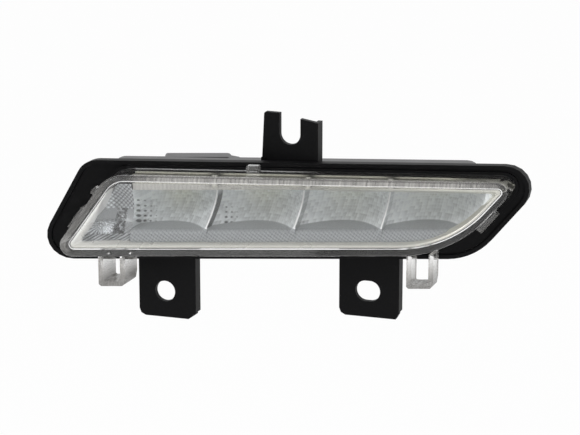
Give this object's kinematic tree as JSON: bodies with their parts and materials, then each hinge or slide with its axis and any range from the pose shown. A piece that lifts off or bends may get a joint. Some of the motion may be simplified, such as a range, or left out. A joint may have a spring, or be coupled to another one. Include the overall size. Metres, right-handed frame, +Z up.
{
  "type": "daytime running light",
  "caption": "Bumper-corner daytime running light: clear box lens on a black flanged housing with fixing lugs, bowl reflector, grey rear cover with socket.",
  "frame": {"origin": "centre of the round locating hole in the left lower lug, halfway through the lug", "axes": "+X across the car towards the lamp's swept-back end, +Y backwards into the car, +Z up"},
  "size_m": [0.1897, 0.0954, 0.0882],
  "materials": {
    "black_plastic": "semi-gloss",
    "clear_plastic": "clear polycarbonate",
    "black_glue": "matt",
    "pale_plastic": "satin",
    "metallised_plastic": "faceted mirror",
    "white_board": "solder mask",
    "led": "phosphor",
    "pad_rubber": "soft",
    "aluminium_sheet": "mill",
    "screw_steel": "zinc plated",
    "grey_plastic": "satin",
    "seal_rubber": "matt",
    "green_board": "solder mask",
    "chip_plastic": "moulded",
    "ferrite": "ground",
    "can_aluminium": "drawn",
    "tin_brass": "tin plated",
    "cap_rubber": "matt",
    "white_membrane": "fine weave"
  },
  "bodies": {
    "root": {"housing": "black_plastic", "lens": "clear_plastic", "lens_seal": "black_glue", "bezel": "pale_plastic", "reflector": "metallised_plastic", "led_board": "white_board", "led_1": "led", "led_2": "led", "led_3": "led", "led_4": "led", "thermal_pad": "pad_rubber", "heat_spreader": "aluminium_sheet", "spreader_screw_1": "screw_steel", "spreader_screw_2": "screw_steel", "spreader_screw_3": "screw_steel", "rear_cover": "grey_plastic", "cover_gasket": "seal_rubber", "driver_board": "green_board", "driver_chip": "chip_plastic", "inductor": "ferrite", "capacitor_1": "can_aluminium", "capacitor_2": "can_aluminium", "terminal_1": "tin_brass", "terminal_2": "tin_brass", "terminal_3": "tin_brass", "board_link": "tin_brass", "vent_cap": "cap_rubber", "vent_membrane": "white_membrane"}
  },
  "joints": []
}
